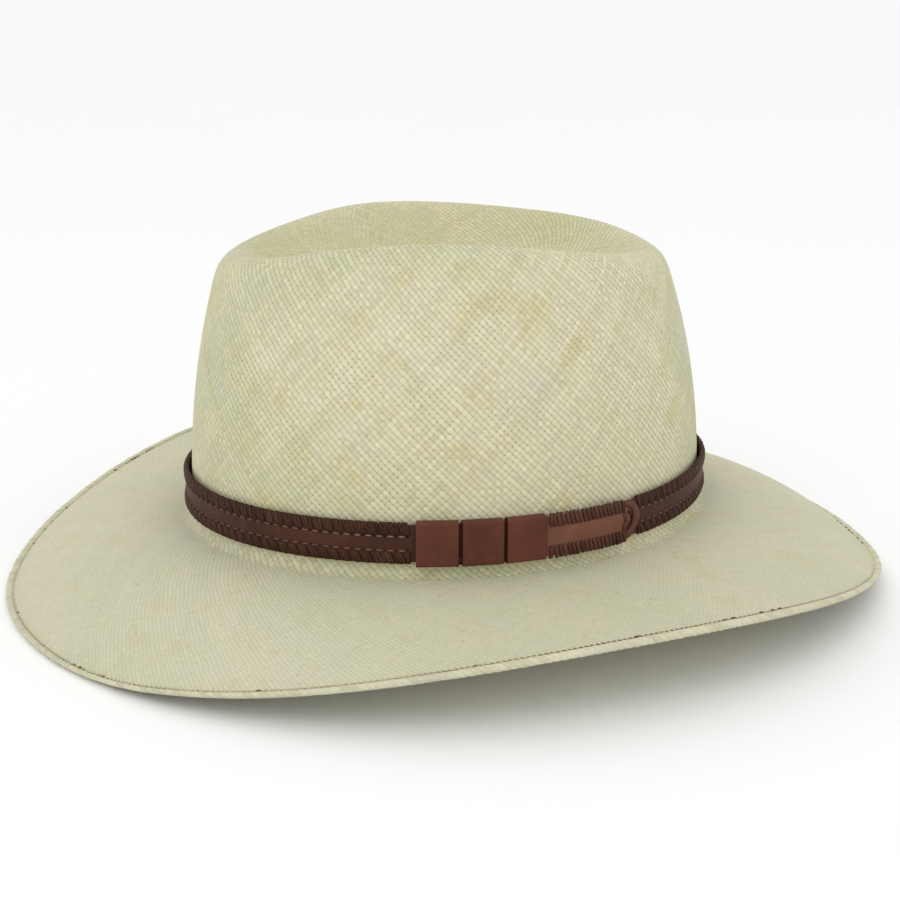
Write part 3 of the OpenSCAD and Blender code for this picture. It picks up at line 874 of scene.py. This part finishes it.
def strap_lacing(name, node, edge, up):
    """Three laces to each hole along one edge of the strap. Up is 1 for its upper edge, -1 for its
    lower one."""
    start, end = along_at(LACE_FROM) + 0.2, along_at(LACE_TO) + 0.1
    holes = hole_places()
    base = np.repeat(holes, 3)
    fan = np.tile([-1.28, 0.0, 1.28], len(holes)) + RANDOM.uniform(-0.1, 0.1, len(base))
    lean = np.full(len(base), -1.8) * up + RANDOM.uniform(-0.15, 0.15, len(base))
    swell = np.tile([0.0, 0.16, 0.05], len(holes)) + RANDOM.uniform(-0.05, 0.05, len(base))
    path = edge_path(STRAP_OUT, STRAP_IN, fan, lean, swell)
    path[..., 1] = np.clip(path[..., 1] + base[:, None], start, end)
    path[..., 2] = edge + up * path[..., 2]
    taper = np.array([0.7, 0.95, 1.0, 1.0, 1.0, 1.0, 1.0, 1.0, 0.9])
    width = RANDOM.uniform(1.12, 1.38, len(base))[:, None] * taper
    flat = strands(path, np.array([0.0, 1.0, 0.0]), width, 0.52 * taper)
    laces = make(name, loft(wrap_round(flat)), LACE_LEATHER, "hatband", node)
    shade = np.tile([0.5, 0.15, 0.3], len(holes)) * RANDOM.uniform(0.4, 1.0, len(base))
    tint_each(laces, shade)


def dashes(flat_centres, length, width, thick):
    """Short stitches along the band, each a rounded length of thread."""
    step = np.array([-0.5, -0.42, -0.15, 0.15, 0.42, 0.5]) * length
    sink = np.array([-0.14, -0.02, 0.06, 0.06, -0.02, -0.14])
    taper = np.array([0.35, 0.8, 1.0, 1.0, 0.8, 0.35])
    centres = flat_centres[:, None] + np.stack([sink, step, 0 * step], -1)
    return strands(centres, UPWARD, width * taper, thick * taper)


def strap_stitches(name, node, up):
    """Dashes of thread between the lacing holes."""
    holes = hole_places()[:-1]
    centres = np.stack([np.full(len(holes), STRAP_OUT + 0.1), holes + HOLE_PITCH / 2,
                        np.full(len(holes), up)], -1)
    flat = dashes(centres, 2.2, 0.55, 0.4)
    thread = make(name, loft(wrap_round(flat)), BAND_THREAD, "hatband", node)
    # Painted shade: the dashes darken with their distance from the front keeper and are darker in the lower
    # row; the random part is the thread's own tone
    away = np.clip((HOLE_PHASE - holes) / 90.0, 0, 0.9)
    shade = RANDOM.random(len(holes)) * 0.3 + away + (0.0 if up > BAND_MID else 0.4)
    tint_each(thread, shade)


strap()
strap_lacing("lacing_upper", "hatband_lacing_upper", BAND_Z + BAND_H, 1)
strap_lacing("lacing_lower", "hatband_lacing_lower", BAND_Z, -1)
strap_stitches("band_stitches_upper", "hatband_stitches_upper", BAND_Z + BAND_H - HOLE_ROW)
strap_stitches("band_stitches_lower", "hatband_stitches_lower", BAND_Z + HOLE_ROW)


# ---- Tab and its lacing

TIP_CENTRE = along_at(TAB_TIP) - TAB_R
TAB_STEPS = 89
TAB_LACE_PITCH = 1.72
KEEPERS_END = along_at(KEEPER_START + 3 * KEEPER_DEG + sum(KEEPER_GAPS))
TAB_LACE_START = KEEPERS_END + 1.95


def tab():
    """Tab leather: a strip with a half-round tip. Under the keepers it is painted dark as painted shade,
    and fills their loops.
    """
    turns = np.linspace(0, 88, 14)
    straight = np.linspace(along_at(TAB_TAIL), TIP_CENTRE, TAB_STEPS + 1)[:-1]
    lengths = np.concatenate([straight, TIP_CENTRE + TAB_R * sind(turns)])
    halves = np.concatenate([np.where(straight < KEEPERS_END - 0.5, TAB_R + 0.3, TAB_R),
                             TAB_R * cosd(turns)])
    sections = []
    for along, half in zip(lengths, halves):
        section = rounded_section(TAB_IN, TAB_OUT, BAND_MID - half, BAND_MID + half, min(0.3, half * 0.9))
        sections.append(np.stack([section[:, 0], np.full(len(section), along), section[:, 1]], -1))
    leather = make("tab_leather", loft(wrap_round(np.array(sections)[None])), TAB_LEATHER, "hatband",
                   "hatband_tab")
    # Painted shade where the tab runs under the keepers
    under_keeper_shade = np.clip((KEEPERS_END + 0.6 - lengths) / 0.8, 0, 1)
    tint_each(leather, 0.05 + 0.95 * under_keeper_shade)


def tab_edge(along, up, turn):
    """Laces over the tab's edge. Turn is the way out of the tab there: 90 up, 0 along, -90 down. The
    first ones stand upright, out of the rear keeper's way."""
    count = len(along)
    clear = np.clip((along - TAB_LACE_START + 0.5) / (2 * TAB_LACE_PITCH), 0.2, 1)
    lean = RANDOM.uniform(0.85, 1.25, count) * clear
    swell = RANDOM.uniform(0.08, 0.34, count)
    path = edge_path(TAB_OUT, TAB_IN + 0.3, np.zeros(count), -lean, swell)[:, :7]
    out_of_it, side = path[..., 2], path[..., 1]
    c, s = cosd(turn)[:, None], sind(turn)[:, None]
    flat = np.stack([path[..., 0], along[:, None] + out_of_it * c + side * s,
                     up[:, None] + out_of_it * s - side * c], -1)
    return flat, np.stack([0 * turn, sind(turn), -cosd(turn)], -1)[:, None]


def tab_lacing():
    """Bold laces along both edges of the tab, and three that curl round its tip. The thin middle curl is
    painted near black, as painted shade in the gap between the other two.
    """
    straight = np.arange(TAB_LACE_START, TIP_CENTRE + 2.4, TAB_LACE_PITCH)
    count = len(straight)
    turn = np.concatenate([np.full(count, 90.0), np.full(count, -90.0)])
    along = np.tile(straight, 2) + RANDOM.uniform(-0.12, 0.12, 2 * count)
    bulge = np.maximum(0, np.tile(straight, 2) - TIP_CENTRE)
    half = np.sqrt(TAB_R ** 2 - bulge ** 2)
    flat, sideways = tab_edge(along, BAND_MID + np.sign(turn) * half, turn)
    taper = np.array([0.6, 0.95, 1.0, 1.0, 1.0, 0.95, 0.8])
    width = RANDOM.uniform(1.25, 1.5, 2 * count)[:, None] * taper
    rows = strands(flat, sideways, width, 0.85 * taper, 8)
    curls = [tip_curl(6.3, 84.0, 0.55, 3.0, 1.7), tip_curl(4.1, 62.0, 0.1, 1.2, 0.4),
             tip_curl(2.5, 84.0, 0.34, 2.4, 0.9)]
    meshes = [loft(wrap_round(rows))] + [loft(wrap_round(curl)) for curl in curls]
    shade = [np.repeat(RANDOM.random(2 * count) * 0.6, len(meshes[0][0]) // (2 * count))]
    # Painted shade: the middle curl is fully dark, the outer two nearly their own tone
    shade += [np.full(len(mesh[0]), tint) for mesh, tint in zip(meshes[1:], (0.15, 1.0, 0.05))]
    laces = make("tab_laces", join(meshes), TAB_LACE, "hatband", "tab_lacing")
    paint(laces, "tint", np.concatenate(shade))


def tip_curl(radius, spread, rise, width, thick):
    """One lace that curls round the tab's tip at a radius, from its upper edge to its lower one."""
    turn = np.linspace(spread, -spread, 22)
    ends = np.abs(turn) / spread
    reach = radius * (1 + 0.12 * sind(turn * 2))
    out = TAB_OUT + rise - 0.5 * ends ** 6
    centres = np.stack([out, TIP_CENTRE + 0.3 + reach * cosd(turn), BAND_MID + reach * sind(turn)], -1)
    sideways = np.stack([0 * turn, cosd(turn), sind(turn)], -1)
    taper = (1 - 0.45 * ends ** 4) * (1 + 0.12 * sind(turn * 5 + 60))
    return strands(centres[None], -sideways[None], width * taper[None], thick * taper[None], 10)


tab()
tab_lacing()


# ---- Keepers

def keeper(number, name):
    """Leather loop round strap and tab, with a slightly domed face. Its inside and cut sides are painted
    dark as painted shade, but for the side of the first one that faces the light, which is left lit."""
    gaps = sum(KEEPER_GAPS[:number + 1])
    before, after = KEEPER_GROW[number]
    start = along_at(KEEPER_START + number * KEEPER_DEG + gaps - before)
    end = along_at(KEEPER_START + (number + 1) * KEEPER_DEG + gaps + after)
    middle, half = (start + end) / 2, (end - start) / 2
    inset = KEEPER_T / 2
    loop = rounded_section(KEEPER_IN + inset, KEEPER_OUT - inset, BAND_MID - KEEPER_HALF_H + inset,
                           BAND_MID + KEEPER_HALF_H - inset, 0.7, 6)
    loop = np.concatenate([evenly(loop[i], loop[(i + 1) % len(loop)], 8) for i in range(len(loop))])
    dome = 0.1 * np.clip(1 - ((loop[:, 1] - BAND_MID) / KEEPER_HALF_H) ** 2, 0, 1)
    outer_side = loop[:, 0] > (KEEPER_IN + KEEPER_OUT) / 2
    loop[:, 0] += np.where(outer_side, dome, 0)
    forward = unit(np.roll(loop, -1, 0) - np.roll(loop, 1, 0))
    away = np.stack([-forward[:, 1], forward[:, 0]], -1)
    cut = rounded_section(-inset, inset, -half, half, 0.14, 3)
    across, thick = cut[:, 1], cut[:, 0]
    lift = loop[:, None] + away[:, None] * thick[None, :, None]
    flat = np.stack([lift[..., 0], np.broadcast_to(middle + across, lift.shape[:2]), lift[..., 1]], -1)
    loop_object = make("leather_" + name, loft(wrap_round(flat[None]), closed=True), KEEPER_LEATHER, name,
                       name)
    # Painted shade on the loop's inside and cut sides, and over each keeper's face; the first keeper's side
    # towards the light stays unshaded
    at_side = np.abs(across) > half - 0.1
    inside = thick < -inset / 2
    shade = np.where(inside | at_side, 1.0, KEEPER_PAINTED_SHADE[number])
    if number == 0:
        shade = np.where((across < 0) & ~inside, 0.0, shade)
    paint(loop_object, "tint", np.broadcast_to(shade, lift.shape[:2]).ravel())


def evenly(a, b, longest):
    """Points from a up to b, with more of them on a long straight."""
    count = max(1, int(np.linalg.norm(b - a) / 14.0 * longest))
    return a + (b - a) * (np.arange(count) / count)[:, None]


for keeper_number, keeper_name in enumerate(("keeper_front", "keeper_middle", "keeper_rear")):
    keeper(keeper_number, keeper_name)


# ---- Sweatband

def sweatband():
    """Leather strip inside the crown, with a soft fold where it starts to lean in."""
    angles = np.linspace(SEAM_FROM, SEAM_TO, 300)
    heights = np.linspace(SWEAT_TOP - 0.4, SWEAT_LOW + 0.4, 22)
    lean = SWEAT_LEAN * np.clip((heights - SWEAT_KNEE) / (SWEAT_TOP - SWEAT_KNEE), 0, 1) ** 1.15
    outer_face = np.stack([SWEAT_FACE + SWEAT_T - lean, heights], -1)
    inner_face = np.stack([SWEAT_FACE - lean, heights], -1)[::-1]
    top = np.array([[SWEAT_FACE + SWEAT_T / 2 - SWEAT_LEAN, SWEAT_TOP]])
    low = np.array([[SWEAT_FACE + SWEAT_T / 2, SWEAT_LOW]])
    section = np.concatenate([top, outer_face, low, inner_face])
    wave = 0.35 * np.sin(np.radians(angles * 7)) + 0.25 * np.sin(np.radians(angles * 17 + 40))
    loose = np.clip((section[:, 1] - SWEAT_KNEE) / (SWEAT_TOP - SWEAT_KNEE), 0, 1) ** 2
    offsets = section[:, 0] + wave[:, None] * loose
    points = with_z(oval(np.broadcast_to(angles[:, None], offsets.shape), offsets), section[:, 1])
    leather = make("sweat_leather", loft(points[None]), SWEAT_LEATHER, "root",
                   "sweatband")
    tint_each(leather, [0.1])


def sweat_stitches():
    """Dashes along the sweatband's lower edge, on its inner face."""
    count = 170
    angles = even_angles(count, SWEAT_FACE)
    out = np.stack([cosd(angles), sind(angles), 0 * angles], -1)
    along = np.stack([-sind(angles), cosd(angles), 0 * angles], -1)
    middle = with_z(oval(angles, SWEAT_FACE), 1.85)
    step = np.array([-0.5, -0.4, 0.0, 0.4, 0.5]) * 2.3
    sink = np.array([0.12, -0.05, -0.16, -0.05, 0.12])
    taper = np.array([0.4, 0.85, 1.0, 0.85, 0.4])
    centres = middle[:, None] + along[:, None] * step[:, None] + out[:, None] * sink[:, None]
    shape = loft(strands(centres, UPWARD, 0.5 * taper, 0.42 * taper))
    thread = make("sweat_stitches", shape, SWEAT_THREAD, "root", "sweatband_stitches")
    tint_each(thread, RANDOM.random(count))


def back_seam():
    """Crossed stitches that close the sweatband's joint at the back, above the bow."""
    count = 10
    rise = 13.6 + np.arange(count) * 2.0
    lean = SWEAT_LEAN * (rise - SWEAT_KNEE) / (SWEAT_TOP - SWEAT_KNEE)
    face = HALF_L + SWEAT_FACE - lean - 0.3
    slant = np.where(np.arange(count) % 2 == 0, 1.0, -1.0)
    step = np.array([-0.5, -0.42, 0.0, 0.42, 0.5])
    sink = np.array([0.35, 0.1, 0.0, 0.1, 0.35])
    centres = np.stack([np.broadcast_to(step * 5.0, (count, 5)), face[:, None] + sink,
                        rise[:, None] + slant[:, None] * step * 2.0], -1)
    taper = np.array([0.4, 0.9, 1.0, 0.9, 0.4])
    shape = loft(strands(centres, UPWARD, 0.5 * taper, 0.42 * taper))
    thread = make("sweat_seam", shape, SWEAT_THREAD, "root", "sweatband_seam")
    tint_each(thread, RANDOM.random(count))


BOW_ARC_R, BOW_ARC_OFF, BOW_Z = 9.0, 5.0, 4.3
BOW_HALF_H, BOW_T, BOW_DEPTH = 2.5, 0.45, 4.9
BOW_GAP = 1.2
BOW_STEPS = 24


def bow():
    """Ribbon bow over the foot of the joint: two loops and the ribbon that is knotted round them."""
    middle_y = HALF_L + SWEAT_FACE - BOW_DEPTH
    middle_z = BOW_Z + BOW_HALF_H
    half = math.sqrt(BOW_ARC_R ** 2 - BOW_ARC_OFF ** 2)
    reach = math.degrees(math.atan2(half, BOW_ARC_OFF))
    arc = np.linspace(-reach, reach, BOW_STEPS + 1)[:-1]
    turn = np.concatenate([arc, arc + 180])
    sign = np.repeat([1.0, -1.0], BOW_STEPS)
    meshes = []
    for side in (1, -1):
        x = BOW_GAP + half + BOW_ARC_R * sind(turn)
        y = (BOW_ARC_R * np.abs(cosd(turn)) - BOW_ARC_OFF) * sign * 0.92
        path = np.stack([side * x, middle_y + y, middle_z + 0.35 * sind(turn * 2)], -1)[::side]
        tall = BOW_HALF_H * 2 * (0.82 + 0.18 * np.clip((np.abs(x) - BOW_GAP) / half, 0, 1))[::side]
        meshes.append(loft(closed_ribbon(path, tall, BOW_T)[None], closed=True))
    knot = rounded_section(-1.3, BOW_DEPTH - 0.15, -BOW_HALF_H - 0.3, BOW_HALF_H + 0.3, 1.1, 5)
    sections = []
    for x, size in ((-1.75, 0.86), (-1.55, 0.97), (-0.8, 1.0), (0.0, 0.985), (0.8, 1.0), (1.55, 0.97),
                    (1.75, 0.86)):
        centre_y = (BOW_DEPTH - 1.45) / 2
        y = middle_y + centre_y + (knot[:, 0] - centre_y) * size
        sections.append(np.stack([np.full(len(knot), x), y, middle_z + knot[:, 1] * size], -1)[::-1])
    meshes.append(loft(np.array(sections)[None]))
    make("ribbon_bow", join(meshes), RIBBON, "root", "sweatband_bow")


def closed_ribbon(path, tall, thick):
    """Sections of a ribbon that stands on its edge along a closed path."""
    forward = unit(np.roll(path, -1, 0) - np.roll(path, 1, 0))
    away = unit(np.cross(forward, UPWARD))
    corners = np.array([(0.5, 0.42), (0.5, -0.42), (0.35, -0.5), (-0.35, -0.5), (-0.5, -0.42), (-0.5, 0.42),
                        (-0.35, 0.5), (0.35, 0.5)])
    rise = UPWARD * tall[:, None, None] * corners[:, 1:]
    return path[:, None] + away[:, None] * thick * corners[:, :1] + rise


def dress(node, material):
    """Gives a carried-over CAD node its material."""
    thing = frame["nodes"][node]
    thing.data.materials.clear()
    thing.data.materials.append(material)


sweatband()
sweat_stitches()
back_seam()
bow()
dress("sweatband_tape", RIBBON)
dress("sweatband_reed", REED)
dress("hatband_joint_stitches", BAND_THREAD)


# ---- Floor, light and camera

VIEW_AZIMUTH, VIEW_ELEVATION = 65.0, 13.7
VIEW_TILT = 2.6
VIEW_DISTANCE = 0.65
VIEW_TARGET = (FOOT + 50) * MM
FOCAL, SHIFT = 67.0, 0.0018
LIGHT_TARGET = 0.06
FLOOR_HALF = 30.0


def floor():
    """Plain pale floor under the hat."""
    shader = Shader("floor")
    speckle = shader.noise(shader.place(), 3.0, 2.0)
    pale = shader.mix(speckle, (0.955, 0.955, 0.955), (0.965, 0.965, 0.965))
    shader.finish(pale, 0.9, speckle, 0.01, 0.1)
    half = FLOOR_HALF
    mesh = bpy.data.meshes.new("floor")
    mesh.from_pydata([(-half, -half, 0), (half, -half, 0), (half, half, 0), (-half, half, 0)], [],
                     [(0, 1, 2, 3)])
    mesh.materials.append(shader.material)
    plane = bpy.data.objects.new("floor", mesh)
    bpy.context.scene.collection.objects.link(plane)


def soft_light(name, azimuth, elevation, distance, size, power):
    """Square soft light that faces the hat."""
    lamp = bpy.data.lights.new(name, "AREA")
    lamp.size = size
    lamp.energy = power
    light = bpy.data.objects.new(name, lamp)
    light.location = (distance * cosd(elevation) * sind(azimuth),
                      -distance * cosd(elevation) * cosd(azimuth),
                      LIGHT_TARGET + distance * sind(elevation))
    light.rotation_euler = (math.radians(90 - elevation), 0, math.radians(azimuth))
    bpy.context.scene.collection.objects.link(light)


def camera():
    """Camera on a line through its target, tilted down past it."""
    lens = bpy.data.cameras.new("camera")
    lens.sensor_width = 36.0
    lens.lens = FOCAL
    lens.shift_x = SHIFT
    lens.clip_end = 100.0
    eye = bpy.data.objects.new("camera", lens)
    reach = VIEW_DISTANCE * cosd(VIEW_ELEVATION)
    eye.location = (reach * sind(VIEW_AZIMUTH), -reach * cosd(VIEW_AZIMUTH),
                    VIEW_TARGET + VIEW_DISTANCE * sind(VIEW_ELEVATION))
    eye.rotation_euler = (math.radians(90 - VIEW_ELEVATION - VIEW_TILT), 0, math.radians(VIEW_AZIMUTH))
    bpy.context.scene.collection.objects.link(eye)
    bpy.context.scene.camera = eye


def world():
    """Even pale surroundings."""
    sky = bpy.data.worlds.new("studio")
    sky.use_nodes = True
    sky.node_tree.nodes["Background"].inputs["Color"].default_value = (1.0, 1.0, 1.0, 1.0)
    sky.node_tree.nodes["Background"].inputs["Strength"].default_value = 0.99
    bpy.context.scene.world = sky


floor()
world()
soft_light("key", VIEW_AZIMUTH - 25, 42, distance=1.4, size=0.8, power=2.0)
soft_light("fill", VIEW_AZIMUTH + 50, 35, distance=1.6, size=1.2, power=0.8)
camera()
bpy.context.scene.view_settings.view_transform = "Standard"
